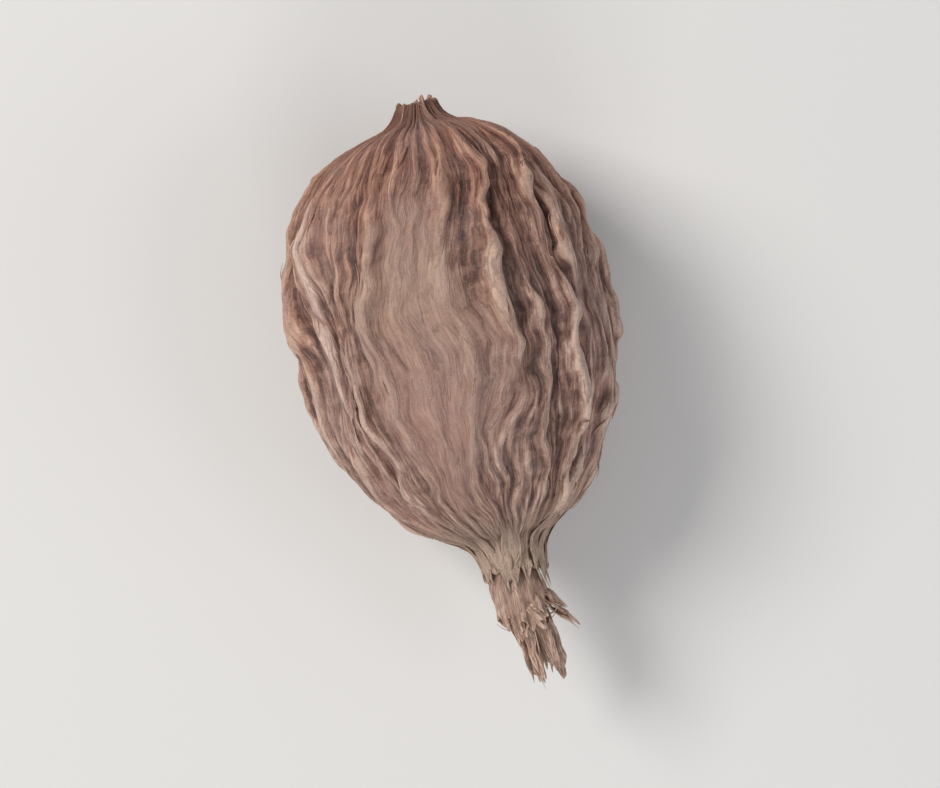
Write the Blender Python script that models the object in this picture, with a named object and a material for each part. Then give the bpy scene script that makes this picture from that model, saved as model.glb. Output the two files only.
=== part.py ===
"""A dried black cardamom pod lying on its side, with its stalk end at -X and its papery calyx tuft at +X."""

import math
import random

import bmesh
import bpy
from mathutils import Matrix, Vector, noise

MM = 0.001
SEED = 7

# Husk, the oval body
BODY_LENGTH = 20.8 * MM
BODY_WIDTH = 14.3 * MM
BODY_HEIGHT = 13.2 * MM
BODY_RINGS = 38
FIRST_TURN = math.radians(10)
LAST_TURN = math.radians(165)
END_FULLNESS = 0.80
APEX_TAPER = 0.10
THREE_SIDED = 0.035
BEND = 0.5 * MM
DENT = 0.75 * MM
DENT_SIZE = 6.0 * MM

# Ribs along the husk
RIB_COUNT = 24
RIB_RISE = 0.95 * MM
RIB_SPREAD = 0.22
RIB_SWAY = 0.20
SWIRL = math.radians(13)
FLANK_PLACE = 0.27
FLANK_HEIGHT = 0.32
NOTCH_SIZE = 2.2 * MM
NOTCH_SHARE = 0.55
PANEL_ANGLE = math.radians(102)
PANEL_HALF = math.radians(26)
PANEL_RIB_SHARE = 0.5
BELLY_HALF_ANGLE = math.radians(30)
BELLY_HALF_LENGTH = 7.0 * MM

# Stalk stump at the round end
STUMP_RADIUS = 1.1 * MM
STUMP_LENGTH = 1.3 * MM
STUMP_HOLLOW = 0.35 * MM
STUMP_BREAK = 0.35 * MM

# Neck, collar and cup at the tip
NECK_LENGTH = 1.4 * MM
COLLAR_RADIUS = 1.6 * MM
COLLAR_TEETH = 0.55 * MM
CUP_RADIUS = 1.1 * MM
CUP_DEPTH = 1.0 * MM

# Flat spot that the pod rests on
REST_CUT = 0.18 * MM

# Calyx tuft
GAP = 0.3 * MM
TUFT_LENGTH = 5.3 * MM
HEAD_RADIUS = 1.2 * MM
HEAD_LENGTH = 1.2 * MM
HEAD_SIDES = 16
LONG_STRIPS = 7
SHORT_STRIPS = 8
STRIP_WIDTH = 1.5 * MM
STRIP_THICKNESS = 0.6 * MM
LONG_SPLAY = (1.0, 8.0)
SHORT_SPLAY = (9.0, 26.0)
STRIP_STATIONS = 7
TUFT_LEAN = Vector((0.0, 0.16, -0.06))


def clear_objects():
    for item in list(bpy.data.objects):
        bpy.data.objects.remove(item, do_unlink=True)


def principled(name, colour, roughness):
    material = bpy.data.materials.new(name)
    material.use_nodes = True
    shader = material.node_tree.nodes["Principled BSDF"]
    shader.inputs["Base Color"].default_value = (*colour, 1.0)
    shader.inputs["Roughness"].default_value = roughness
    shader.inputs["Metallic"].default_value = 0.0
    return material


def smooth_step(low, high, value):
    share = min(1.0, max(0.0, (value - low) / (high - low)))
    return share * share * (3.0 - 2.0 * share)


def angle_between(a, b):
    return abs((a - b + math.pi) % (2.0 * math.pi) - math.pi)


def body_radius(turn):
    """Mean radius, as a share of the widest, at a turn that runs from 0 at the stalk end to pi at the tip."""
    along = -math.cos(turn)
    return math.sin(turn) ** END_FULLNESS * (1.0 - APEX_TAPER * along * abs(along))


class Ribs:
    """The ribs' places round the husk and their height along it."""

    def __init__(self, rng):
        self.step = 2.0 * math.pi / RIB_COUNT
        self.places = [(i + rng.uniform(-RIB_SPREAD, RIB_SPREAD)) * self.step for i in range(RIB_COUNT)]
        self.heights = [rng.uniform(0.45, 1.15) for _ in range(RIB_COUNT)]

    def crest(self, rib, x):
        """A rib sways on its own and swirls with its neighbours."""
        whole, index = divmod(rib, RIB_COUNT)
        place = self.places[index]
        share = x / BODY_LENGTH
        sway = noise.noise(Vector((share * 3.6, index * 7.3, 2.0)))
        swirl = noise.noise(Vector((share * 2.6, 1.5 * math.cos(place), 1.5 * math.sin(place))))
        return place + sway * RIB_SWAY * self.step + swirl * SWIRL + whole * 2.0 * math.pi

    def height(self, rib, x):
        """A rib fades in and out along its length, with notches in its edge."""
        index = rib % RIB_COUNT
        fade = 0.75 + 0.9 * noise.noise(Vector((x / BODY_LENGTH * 2.6, index * 3.7, 9.0)))
        notch = 1.0 + NOTCH_SHARE * noise.noise(Vector((x / NOTCH_SIZE, index * 5.1, 4.0)))
        return self.heights[index] * max(0.12, fade) * notch

    def columns(self, x):
        """Angle and height of every column of points round the husk: crest, flank, valley, flank."""
        found = []
        for rib in range(RIB_COUNT):
            start, end = self.crest(rib, x), self.crest(rib + 1, x)
            here, there = self.height(rib, x), self.height(rib + 1, x)
            found.append((start, here))
            found.append((start + (end - start) * FLANK_PLACE, here * FLANK_HEIGHT))
            found.append((start + (end - start) * 0.5, 0.0))
            found.append((end - (end - start) * FLANK_PLACE, there * FLANK_HEIGHT))
        return found


def belly_share(x, angle):
    """Relief fades to nothing round the spot that the husk rests on."""
    off_spot = math.hypot(angle_between(angle, -0.5 * math.pi) / BELLY_HALF_ANGLE, x / BELLY_HALF_LENGTH)
    return smooth_step(0.5, 1.0, off_spot)


def rib_share(x, angle):
    """Ribs are lower on one smooth panel."""
    panel = smooth_step(0.4 * PANEL_HALF, PANEL_HALF, angle_between(angle, PANEL_ANGLE))
    return (PANEL_RIB_SHARE + (1.0 - PANEL_RIB_SHARE) * panel) * belly_share(x, angle)


def husk_profile():
    """Stations from the stump's hollow to the cup's floor: place along X, radius, rib share, teeth."""
    half = 0.5 * BODY_LENGTH
    mean = 0.25 * (BODY_WIDTH + BODY_HEIGHT)
    body = []
    for ring in range(BODY_RINGS + 1):
        turn = FIRST_TURN + (LAST_TURN - FIRST_TURN) * ring / BODY_RINGS
        share = ring / BODY_RINGS
        ribs = 0.3 + 0.7 * smooth_step(0.02, 0.22, share) * smooth_step(0.0, 0.14, 1.0 - share)
        body.append((-half * math.cos(turn), mean * body_radius(turn), ribs, 0.0))
    start, end = body[0][0], body[-1][0]
    base = body[0][1]
    stump = [
        (start - STUMP_LENGTH + STUMP_HOLLOW, 0.0, 0.0, 0.0),
        (start - STUMP_LENGTH + STUMP_HOLLOW, 0.45 * STUMP_RADIUS, 0.0, 0.0),
        (start - STUMP_LENGTH + 0.3 * STUMP_BREAK, 0.72 * STUMP_RADIUS, 0.10, -STUMP_BREAK),
        (start - 0.75 * STUMP_LENGTH, 0.88 * STUMP_RADIUS, 0.20, -0.3 * STUMP_BREAK),
        (start - 0.42 * STUMP_LENGTH, STUMP_RADIUS, 0.24, 0.0),
        (start - 0.16 * STUMP_LENGTH, 0.45 * STUMP_RADIUS + 0.55 * base, 0.28, 0.0),
    ]
    rim = end + NECK_LENGTH
    neck_root = body[-1][1]
    cup = [
        (end + 0.3 * NECK_LENGTH, 0.5 * (neck_root + COLLAR_RADIUS), 0.3, 0.0),
        (end + 0.65 * NECK_LENGTH, COLLAR_RADIUS, 0.28, 0.0),
        (rim, COLLAR_RADIUS, 0.26, COLLAR_TEETH),
        (rim, CUP_RADIUS + 0.15 * MM, 0.0, 0.5 * COLLAR_TEETH),
        (rim - 0.35 * CUP_DEPTH, CUP_RADIUS, 0.0, 0.0),
        (rim - CUP_DEPTH, 0.85 * CUP_RADIUS, 0.0, 0.0),
        (rim - CUP_DEPTH, 0.0, 0.0, 0.0),
    ]
    return stump + body + cup


def axis_point(x):
    """The pod's middle line, bowed a little sideways."""
    share = x / (0.5 * BODY_LENGTH)
    return Vector((x, BEND * (share * share - 0.4), -0.15 * MM * share))


def husk_point(station, angle, height):
    """A point of the husk's skin."""
    x, radius, ribs, teeth = station
    mean = 0.25 * (BODY_WIDTH + BODY_HEIGHT)
    size = radius / mean
    sides = 1.0 - THREE_SIDED * size * math.cos(3.0 * (angle + 0.5 * math.pi))
    away = Vector((0.0, math.cos(angle) * BODY_WIDTH, math.sin(angle) * BODY_HEIGHT)) / (2.0 * mean)
    dent = noise.noise((Vector((x, 0.0, 0.0)) + away * radius) / DENT_SIZE) * DENT * size * belly_share(x, angle)
    rib = RIB_RISE * height * ribs * rib_share(x, angle)
    forward = Vector((teeth * min(1.0, height * height), 0.0, 0.0))
    return axis_point(x) + away * (radius * sides + dent + rib) + forward


def make_husk():
    ribs = Ribs(random.Random(SEED))
    mesh = bmesh.new()
    profile = husk_profile()
    rings = []
    for station in profile[1:-1]:
        columns = ribs.columns(station[0])
        rings.append([mesh.verts.new(husk_point(station, angle, height)) for angle, height in columns])
    first = mesh.verts.new(axis_point(profile[0][0]))
    last = mesh.verts.new(axis_point(profile[-1][0]))
    count = len(rings[0])
    for lower, upper in zip(rings, rings[1:]):
        for i in range(count):
            j = (i + 1) % count
            mesh.faces.new((lower[i], lower[j], upper[j], upper[i]))
    for i in range(count):
        j = (i + 1) % count
        mesh.faces.new((first, rings[0][j], rings[0][i]))
        mesh.faces.new((last, rings[-1][i], rings[-1][j]))
    bmesh.ops.recalc_face_normals(mesh, faces=mesh.faces)
    return mesh


def cut_flat(mesh, height):
    """Cuts the belly off at a height and closes the cut with level faces."""
    geometry = mesh.verts[:] + mesh.edges[:] + mesh.faces[:]
    bmesh.ops.bisect_plane(
        mesh, geom=geometry, dist=1e-6, plane_co=(0.0, 0.0, height), plane_no=(0.0, 0.0, -1.0), clear_outer=True
    )
    bmesh.ops.holes_fill(mesh, edges=[e for e in mesh.edges if e.is_boundary], sides=0)
    bmesh.ops.recalc_face_normals(mesh, faces=mesh.faces)


def to_object(name, mesh, material=None):
    data = bpy.data.meshes.new(name)
    mesh.to_mesh(data)
    mesh.free()
    item = bpy.data.objects.new(name, data)
    bpy.context.scene.collection.objects.link(item)
    if material is not None:
        data.materials.append(material)
    data.shade_smooth()
    return item


def make_root():
    """The tuft's root: a stem in the husk's cup with a wider head outside it."""
    rim = husk_profile()[-5][0]
    floor = rim - CUP_DEPTH + GAP
    stem = 0.85 * CUP_RADIUS - GAP
    head = rim + COLLAR_TEETH + GAP
    profile = [
        (floor, stem),
        (rim, stem),
        (head, 0.8 * HEAD_RADIUS),
        (head + 0.3 * HEAD_LENGTH, HEAD_RADIUS),
        (head + 0.7 * HEAD_LENGTH, 0.85 * HEAD_RADIUS),
        (head + HEAD_LENGTH, 0.45 * HEAD_RADIUS),
    ]
    mesh = bmesh.new()
    rings = []
    for x, radius in profile:
        ring = []
        for side in range(HEAD_SIDES):
            angle = 2.0 * math.pi * side / HEAD_SIDES
            ring.append(mesh.verts.new((x, radius * math.cos(angle), radius * math.sin(angle))))
        rings.append(ring)
    for lower, upper in zip(rings, rings[1:]):
        for i in range(HEAD_SIDES):
            j = (i + 1) % HEAD_SIDES
            mesh.faces.new((lower[i], lower[j], upper[j], upper[i]))
    mesh.faces.new(list(reversed(rings[0])))
    mesh.faces.new(rings[-1])
    bmesh.ops.recalc_face_normals(mesh, faces=mesh.faces)
    return mesh, head


def make_strip(start, heading, outward, length, width, curl, twist):
    """One papery strip: a thin blade that tapers, curls outward and twists, split alike on both faces."""
    mesh = bmesh.new()
    rings = []
    for station in range(STRIP_STATIONS):
        share = station / (STRIP_STATIONS - 1)
        middle = start + heading * (length * share) + outward * (curl * length * share * share)
        along = (heading + outward * (2.0 * curl * share)).normalized()
        across = Matrix.Rotation(twist * share, 3, along) @ along.cross(outward).normalized()
        up = across.cross(along).normalized()
        side = across * (0.5 * width * (1.0 - 0.72 * share ** 1.7))
        lift = up * (0.5 * STRIP_THICKNESS)
        rings.append([
            mesh.verts.new(middle - side - lift),
            mesh.verts.new(middle + side - lift),
            mesh.verts.new(middle + side + lift),
            mesh.verts.new(middle - side + lift),
        ])
    for lower, upper in zip(rings, rings[1:]):
        for i in range(4):
            j = (i + 1) % 4
            near, far = (lower[i], lower[j]), (upper[i], upper[j])
            if i == 2:
                mesh.faces.new((near[0], near[1], far[0]))
                mesh.faces.new((near[1], far[1], far[0]))
            else:
                mesh.faces.new((near[0], near[1], far[1]))
                mesh.faces.new((near[0], far[1], far[0]))
    mesh.faces.new(list(reversed(rings[0])))
    mesh.faces.new(rings[-1])
    bmesh.ops.recalc_face_normals(mesh, faces=mesh.faces)
    return mesh


def make_strips(head, holder):
    """Long strips bunch along the axis and short ones splay round them."""
    rng = random.Random(SEED + 1)
    golden = math.radians(137.5)
    for number in range(LONG_STRIPS + SHORT_STRIPS):
        long_one = number < LONG_STRIPS
        angle = number * golden + rng.uniform(-0.25, 0.25)
        splay = math.radians(rng.uniform(*LONG_SPLAY) if long_one else rng.uniform(*SHORT_SPLAY))
        reach = TUFT_LENGTH * (rng.uniform(0.8, 1.0) if long_one else rng.uniform(0.42, 0.7))
        outward = Vector((0.0, math.cos(angle), math.sin(angle)))
        heading = Vector((math.cos(splay), 0.0, 0.0)) + outward * math.sin(splay)
        heading = (heading + TUFT_LEAN).normalized()
        outward = (outward - heading * outward.dot(heading)).normalized()
        start = Vector((head + 0.3 * HEAD_LENGTH, 0.0, 0.0)) + outward * (0.5 * HEAD_RADIUS)
        width = STRIP_WIDTH * rng.uniform(0.75, 1.1)
        curl = rng.uniform(-0.12, 0.0) if long_one else rng.uniform(-0.22, 0.16)
        strip = make_strip(start, heading, outward, reach, width, curl, rng.uniform(-0.9, 0.9))
        piece = to_object(f"strip_{number}", strip)
        bpy.context.scene.collection.objects.unlink(piece)
        holder.objects.link(piece)


def make_tuft(material):
    root, head = make_root()
    tuft = to_object("calyx_tuft", root, material)
    holder = bpy.data.collections.new("strips")
    bpy.context.scene.collection.children.link(holder)
    make_strips(head, holder)
    join = tuft.modifiers.new("join", "BOOLEAN")
    join.operation = "UNION"
    join.operand_type = "COLLECTION"
    join.collection = holder
    join.solver = "EXACT"
    evaluated = tuft.evaluated_get(bpy.context.evaluated_depsgraph_get())
    joined = bpy.data.meshes.new_from_object(evaluated)
    tuft.modifiers.clear()
    tuft.data = joined
    for piece in list(holder.objects):
        bpy.data.objects.remove(piece, do_unlink=True)
    bpy.data.collections.remove(holder)
    joined.set_sharp_from_angle(angle=math.radians(40))
    return tuft


def main():
    clear_objects()
    husk_material = principled("dried_husk", (0.262, 0.150, 0.107), 0.78)
    tuft_material = principled("papery_calyx", (0.456, 0.342, 0.254), 0.85)
    mesh = make_husk()
    belly = (0.0, 0.25 * (BODY_WIDTH + BODY_HEIGHT) * body_radius(0.5 * math.pi), 0.0, 0.0)
    floor = husk_point(belly, -0.5 * math.pi, 0.0).z + REST_CUT
    cut_flat(mesh, floor)
    husk = to_object("husk", mesh, husk_material)
    tuft = make_tuft(tuft_material)
    tip = axis_point(husk_profile()[-1][0])
    husk.data.transform(Matrix.Translation((0.0, 0.0, -floor)))
    tuft.data.transform(Matrix.Translation((0.0, tip.y, tip.z - floor)))


main()
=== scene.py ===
import math
import random

import bpy
import numpy as np
from mathutils import Matrix, Vector, noise


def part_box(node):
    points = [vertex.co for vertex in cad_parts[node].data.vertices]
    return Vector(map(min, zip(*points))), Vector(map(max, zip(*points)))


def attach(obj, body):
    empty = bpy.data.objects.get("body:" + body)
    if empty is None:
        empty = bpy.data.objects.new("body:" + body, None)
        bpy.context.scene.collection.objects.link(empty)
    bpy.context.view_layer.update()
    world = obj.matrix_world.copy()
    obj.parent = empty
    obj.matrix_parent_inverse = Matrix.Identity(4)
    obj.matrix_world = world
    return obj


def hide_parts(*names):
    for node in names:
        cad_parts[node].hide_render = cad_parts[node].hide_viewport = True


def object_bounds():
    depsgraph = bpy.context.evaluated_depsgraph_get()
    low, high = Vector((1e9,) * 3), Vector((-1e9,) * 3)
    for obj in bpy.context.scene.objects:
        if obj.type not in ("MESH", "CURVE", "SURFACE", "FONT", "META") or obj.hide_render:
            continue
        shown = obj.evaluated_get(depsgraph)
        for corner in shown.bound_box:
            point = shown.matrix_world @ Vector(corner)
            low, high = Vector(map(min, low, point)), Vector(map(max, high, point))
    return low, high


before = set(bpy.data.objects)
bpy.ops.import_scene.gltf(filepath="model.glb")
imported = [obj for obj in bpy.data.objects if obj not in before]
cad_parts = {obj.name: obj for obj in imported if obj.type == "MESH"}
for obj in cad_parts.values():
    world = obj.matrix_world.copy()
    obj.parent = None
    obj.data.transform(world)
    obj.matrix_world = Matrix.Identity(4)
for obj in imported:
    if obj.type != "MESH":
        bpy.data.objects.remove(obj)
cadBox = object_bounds()
mm = 0.001
print("frame loaded")


def selectOnly(piece):
    bpy.ops.object.select_all(action="DESELECT")
    piece.select_set(True)
    bpy.context.view_layer.objects.active = piece


def applyModifier(piece, kind, **values):
    selectOnly(piece)
    modifier = piece.modifiers.new(kind.lower(), kind)
    for name, value in values.items():
        setattr(modifier, name, value)
    bpy.ops.object.modifier_apply(modifier=modifier.name)


def smoothShade(piece):
    selectOnly(piece)
    bpy.ops.object.shade_smooth()


def joinPieces(pieces, name):
    bpy.ops.object.select_all(action="DESELECT")
    for piece in pieces:
        piece.select_set(True)
    bpy.context.view_layer.objects.active = pieces[0]
    bpy.ops.object.join()
    joined = bpy.context.view_layer.objects.active
    joined.name = name
    joined.data.name = name
    return joined


def copyPiece(piece, name):
    copied = bpy.data.objects.new(name, piece.data.copy())
    bpy.context.scene.collection.objects.link(copied)
    return copied


def removePiece(piece):
    bpy.data.objects.remove(piece, do_unlink=True)


def smoothStep(low, high, value):
    share = np.clip((value - low) / (high - low), 0.0, 1.0)
    return share * share * (3.0 - 2.0 * share)


def getPoints(piece, what="co"):
    flat = np.empty(len(piece.data.vertices) * 3, np.float32)
    piece.data.vertices.foreach_get(what, flat)
    return flat.reshape(-1, 3).astype(float)


def setPoints(piece, points):
    piece.data.vertices.foreach_set("co", np.asarray(points, np.float32).ravel())
    piece.data.update()


def setValue(piece, name, values):
    layer = piece.data.attributes.new(name, "FLOAT", "POINT")
    layer.data.foreach_set("value", np.asarray(values, np.float32))


def getValue(piece, name):
    values = np.empty(len(piece.data.vertices), np.float32)
    piece.data.attributes[name].data.foreach_get("value", values)
    return values


def setVector(piece, name, values):
    layer = piece.data.attributes.new(name, "FLOAT_VECTOR", "POINT")
    layer.data.foreach_set("vector", np.asarray(values, np.float32).ravel())


def noiseAt(points):
    return np.array([noise.noise(Vector(p)) for p in points])


def roughAt(points):
    # two octaves
    coarse, fine = 0.65, 0.35
    finer, apart = 2.1, 5.0
    return coarse * noiseAt(points) + fine * noiseAt(points * finer + apart)


def ridgedAt(points):
    # thin ridges with a mean near zero
    top, steepness = 0.65, 2.0
    return top - steepness * np.abs(noiseAt(points))


# Husk skin, from the frame's husk

huskShape = {
    "refine": 2,
    "weld": 0.001 * mm,
    "quadAngle": math.radians(80),
    "bodyLength": 20.8 * mm,
    "widthToHeight": 14.3 / 13.2,
    "radius": 7.0 * mm,
    "axisHeight": 6.25 * mm,
    "bend": 0.5 * mm,
    "bendLevel": 0.4,
    "swirl": math.radians(13),
    "swirlScale": (1.3, 1.5),  # along and round the pod
    "restFade": (0.05 * mm, 0.7 * mm),  # heights over which the moves of the skin set in
    "broadSteps": 160,
    "fineSteps": 8,
    "crinkle": 0.54 * mm,
    "crinkleRestFade": (0.4 * mm, 2.0 * mm),
    "crinkleEndFade": (1.0 * mm, 4.0 * mm),
    "ridgeRise": 0.24 * mm,
    "ridgeFrom": (0.12 * mm, 0.42 * mm),
    "valleyDrop": 0.15 * mm,
    "valleyFrom": (0.05 * mm, 0.35 * mm),
    "waver": 0.05,
    "wrinkleDepth": 0.20 * mm,
    "patchLevel": 0.75,
    "patchGain": 1.1,
    "patchLimits": (0.2, 1.5),
    "strandDepth": 0.100 * mm,
    "toothRise": 0.20 * mm,
    "toothLevel": 0.25,
    "toothGain": 1.3,
    "toothCrest": (0.68, 0.95),
    "toothStart": (1.5 * mm, 5.0 * mm),
    "puckerDepth": 0.12 * mm,
    "grainDepth": 0.03 * mm,
    "endDepth": 0.4,
    "stalkFade": 2.5 * mm,
    "rimFade": 2.0 * mm,
    "crestReach": 0.35 * mm,
    "paleReach": 0.62 * mm,
    "fineReach": 0.04 * mm,
    "panelAngle": math.radians(102),
    "panelHalf": math.radians(30),
    "panelMiddle": 0.5 * mm,
    "panelHalfLength": 8.0 * mm,
    "panelRagged": 0.5,
    "panelFade": (0.55, 1.15),
    "panelCalm": 0.5,
    "paleRidgeAngle": math.radians(157),
    "paleRidgeHalf": math.radians(4.5),
    "paleRidgeWaver": 0.10,
    "paleRidgeStart": (-9.0 * mm, -6.5 * mm),
    "paleRidgeEnd": (3.5 * mm, 6.0 * mm),
    "paleRidgeRise": 0.30 * mm,
    "grooveAside": -2.4,  # in half widths of the pale ridge
    "grooveShare": 0.7,
    "neckPinch": 0.16,
    "neckStart": 2.2 * mm,
    "neckEnd": 0.2 * mm,
}

skinPatterns = {  # each one's length along the pod, its width round it, and where its noise starts
    "crinkle": (2.1 * mm, 2.3 * mm, 41.0),
    "waver": (2.5 * mm, 4.0 * mm, 31.0),
    "patches": (5.0 * mm, 5.0 * mm, 3.0),
    "wrinkle": (4.5 * mm, 0.76 * mm, 0.0),
    "strand": (2.6 * mm, 0.34 * mm, 7.0),
    "tooth": (1.6 * mm, 4.0 * mm, 5.0),
    "pucker": (0.55 * mm, 1.1 * mm, 11.0),
    "grain": (0.45 * mm, 0.45 * mm, 17.0),
    "panelEdge": (3.0 * mm, 2.0 * mm, 23.0),
    "ridgeWaver": (2.4 * mm, 6.0 * mm, 53.0),
}


def copyOfNode(node, name):
    piece = copyPiece(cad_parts[node], name)
    piece.data.materials.clear()
    quadAngle = huskShape["quadAngle"]
    selectOnly(piece)
    bpy.ops.object.mode_set(mode="EDIT")
    bpy.ops.mesh.select_all(action="SELECT")
    bpy.ops.mesh.remove_doubles(threshold=huskShape["weld"])
    bpy.ops.mesh.tris_convert_to_quads(face_threshold=quadAngle, shape_threshold=quadAngle)
    bpy.ops.mesh.customdata_custom_splitnormals_clear()
    bpy.ops.object.mode_set(mode="OBJECT")
    smoothShade(piece)
    return piece


def standProud(piece, steps):
    # how far each point stands out of the same skin when it is smoothed
    softened = copyPiece(piece, "softened")
    applyModifier(softened, "SMOOTH", factor=1.0, iterations=steps)
    out = ((getPoints(piece) - getPoints(softened)) * getPoints(piece, "normal")).sum(axis=1)
    removePiece(softened)
    return out


def crestShare(proud, reach):
    # 0 in a groove, 1 on a top
    return np.clip(0.5 + 0.5 * proud / reach, 0.0, 1.0)


def skinPlaces(points):
    # x and the angle round the pod, straightened from the ridges' swirl
    s = huskShape
    share = points[:, 0] / (0.5 * s["bodyLength"])
    y = points[:, 1] - s["bend"] * (share * share - s["bendLevel"])
    z = (points[:, 2] - s["axisHeight"]) * s["widthToHeight"]
    angle = np.arctan2(z, y)
    along, around = s["swirlScale"]
    swirl = noiseAt(np.stack([share * along, around * np.cos(angle), around * np.sin(angle)], axis=1))
    return points[:, 0], angle - swirl * s["swirl"]


def skinField(x, angle, pattern):
    # points for a noise that is stretched along the pod
    along, across, offset = skinPatterns[pattern]
    turns = huskShape["radius"] / across
    return np.stack([x / along + offset, np.cos(angle) * turns, np.sin(angle) * turns], axis=1)


def pushOut(piece, distance):
    # moves the skin along its normals, and leaves the spot that it rests on as it is
    points = getPoints(piece)
    distance = distance * smoothStep(*huskShape["restFade"], points[:, 2])
    setPoints(piece, points + getPoints(piece, "normal") * distance[:, None])


def angleFrom(angle, middle):
    # within half a turn either way
    return (angle - middle + math.pi) % (2.0 * math.pi) - math.pi


def panelShare(x, angle):
    # 1 on the smoother panel on top, with a ragged edge
    s = huskShape
    ragged = s["panelRagged"] * roughAt(skinField(x, angle, "panelEdge"))
    across = angleFrom(angle, s["panelAngle"]) / s["panelHalf"]
    away = np.hypot(across, (x - s["panelMiddle"]) / s["panelHalfLength"]) + ragged
    return 1.0 - smoothStep(*s["panelFade"], away)


def highlitRidge(x, angle, aside=0.0):
    # 1 on the long ridge beside the panel, where the husk's material paints a pale painted highlight, or on a
    # line beside it
    s = huskShape
    waver = angle + s["paleRidgeWaver"] * noiseAt(skinField(x, angle, "ridgeWaver"))
    away = angleFrom(waver, s["paleRidgeAngle"] + aside) / s["paleRidgeHalf"]
    ends = smoothStep(*s["paleRidgeStart"], x) * (1.0 - smoothStep(*s["paleRidgeEnd"], x))
    return np.exp(-away * away) * ends


def crinkleSkin(skin, x, angle):
    # shifts the skin to and fro round the pod, so that its ridges run in small bends
    s = huskShape
    points = getPoints(skin)
    shift = s["crinkle"] * roughAt(skinField(x, angle, "crinkle"))
    shift *= smoothStep(*s["crinkleRestFade"], points[:, 2])
    shift *= smoothStep(*s["crinkleEndFade"], x - x.min()) * smoothStep(*s["crinkleEndFade"], x.max() - x)
    points[:, 1] -= np.sin(angle) * shift
    points[:, 2] += np.cos(angle) * shift
    setPoints(skin, points)


def sharpenRidges(skin):
    s = huskShape
    proud = standProud(skin, s["broadSteps"])
    rise = s["ridgeRise"] * smoothStep(*s["ridgeFrom"], proud)
    drop = s["valleyDrop"] * smoothStep(*s["valleyFrom"], -proud)
    pushOut(skin, rise - drop)
    return crestShare(proud, s["crestReach"])


def wrinkleSkin(skin, x, angle, crest):
    s = huskShape
    fromStalk, fromRim = x - x.min(), x.max() - x
    waver = angle + s["waver"] * noiseAt(skinField(x, angle, "waver"))
    patches = s["patchLevel"] + s["patchGain"] * noiseAt(skinField(x, angle, "patches"))
    wrinkle = ridgedAt(skinField(x, waver, "wrinkle")) * np.clip(patches, *s["patchLimits"])
    strand = ridgedAt(skinField(x, waver, "strand"))
    tooth = s["toothLevel"] + s["toothGain"] * roughAt(skinField(x, angle, "tooth"))
    tooth *= smoothStep(*s["toothCrest"], crest) * smoothStep(*s["toothStart"], fromStalk)
    pucker = roughAt(skinField(x, angle, "pucker")) * (1.0 - crest)
    grain = roughAt(skinField(x, angle, "grain"))
    move = s["wrinkleDepth"] * wrinkle - s["strandDepth"] * strand + s["toothRise"] * tooth
    move += s["puckerDepth"] * pucker + s["grainDepth"] * grain
    inner = smoothStep(0.0, s["stalkFade"], fromStalk) * smoothStep(0.0, s["rimFade"], fromRim)
    move *= s["endDepth"] + (1.0 - s["endDepth"]) * inner
    move *= 1.0 - s["panelCalm"] * panelShare(x, angle)
    groove = s["grooveShare"] * highlitRidge(x, angle, s["grooveAside"] * s["paleRidgeHalf"])
    move += s["paleRidgeRise"] * (highlitRidge(x, angle) - groove)
    pushOut(skin, move)


def pinchNeck(skin):
    # draws the rim in over the papery tube
    s = huskShape
    points = getPoints(skin)
    rim = points[:, 0].max()
    scale = 1.0 - s["neckPinch"] * smoothStep(rim - s["neckStart"], rim - s["neckEnd"], points[:, 0])
    middle = tuftRoot()
    points[:, 1] = middle.y + (points[:, 1] - middle.y) * scale
    points[:, 2] = middle.z + (points[:, 2] - middle.z) * scale
    setPoints(skin, points)


def paintSkin(skin, x, angle):
    # values and a stretched place that the husk's material reads
    s = huskShape
    # crest and fineCrest darken the grooves in the husk's colour, which is painted shade
    setValue(skin, "crest", crestShare(standProud(skin, s["broadSteps"]), s["paleReach"]))
    setValue(skin, "fineCrest", crestShare(standProud(skin, s["fineSteps"]), s["fineReach"]))
    setValue(skin, "alongPod", (x - x.min()) / (x.max() - x.min()))
    setValue(skin, "smoothPanel", panelShare(x, angle))
    # the long ridge's mask, which the husk's material uses for a painted highlight
    setValue(skin, "highlitRidge", highlitRidge(x, angle))
    turned = np.stack([x, np.cos(angle) * s["radius"], np.sin(angle) * s["radius"]], axis=1)
    setVector(skin, "skinPlace", turned / mm)


def tuftRoot():
    # where the tuft's axis leaves the husk
    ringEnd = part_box("calyx_tuft")[0].x + 0.05 * mm
    ring = [v.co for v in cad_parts["calyx_tuft"].data.vertices if v.co.x < ringEnd]
    middle = sum(ring, Vector()) / len(ring)
    return Vector((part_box("husk")[1].x, middle.y, middle.z))


def makeHuskSkin():
    skin = copyOfNode("husk", "huskSkin")
    applyModifier(skin, "SUBSURF", levels=huskShape["refine"], render_levels=huskShape["refine"])
    x, angle = skinPlaces(getPoints(skin))
    crinkleSkin(skin, x, angle)
    crest = sharpenRidges(skin)
    wrinkleSkin(skin, x, angle, crest)
    pinchNeck(skin)
    paintSkin(skin, x, angle)
    return skin


huskSkin = makeHuskSkin()
print("husk skin", len(huskSkin.data.polygons), "faces")


# Thin ribbons: the calyx strips, torn scales on the neck, and shreds that peel off the ridges

ribbonShape = {
    "tearScale": 5.0,
    "taperPower": 1.7,
    "slimPower": 5,
    "edgeWave": 0.16,
    "edgeWaveScale": (6.0, 1.5),  # along and across the ribbon
    "folds": 15.0,
    "foldStart": 0.3,
    "edgeLift": 3.6,
    "flutter": 1.6,
    "flutterScale": (4.0, 2.0),
    "seedSteps": (1.7, 2.3, 3.1, 0.77),  # for the tear, the edge, the flutter and the material
    "crest": (0.25, 0.65),  # at the root, and its gain to the tip
}


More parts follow.
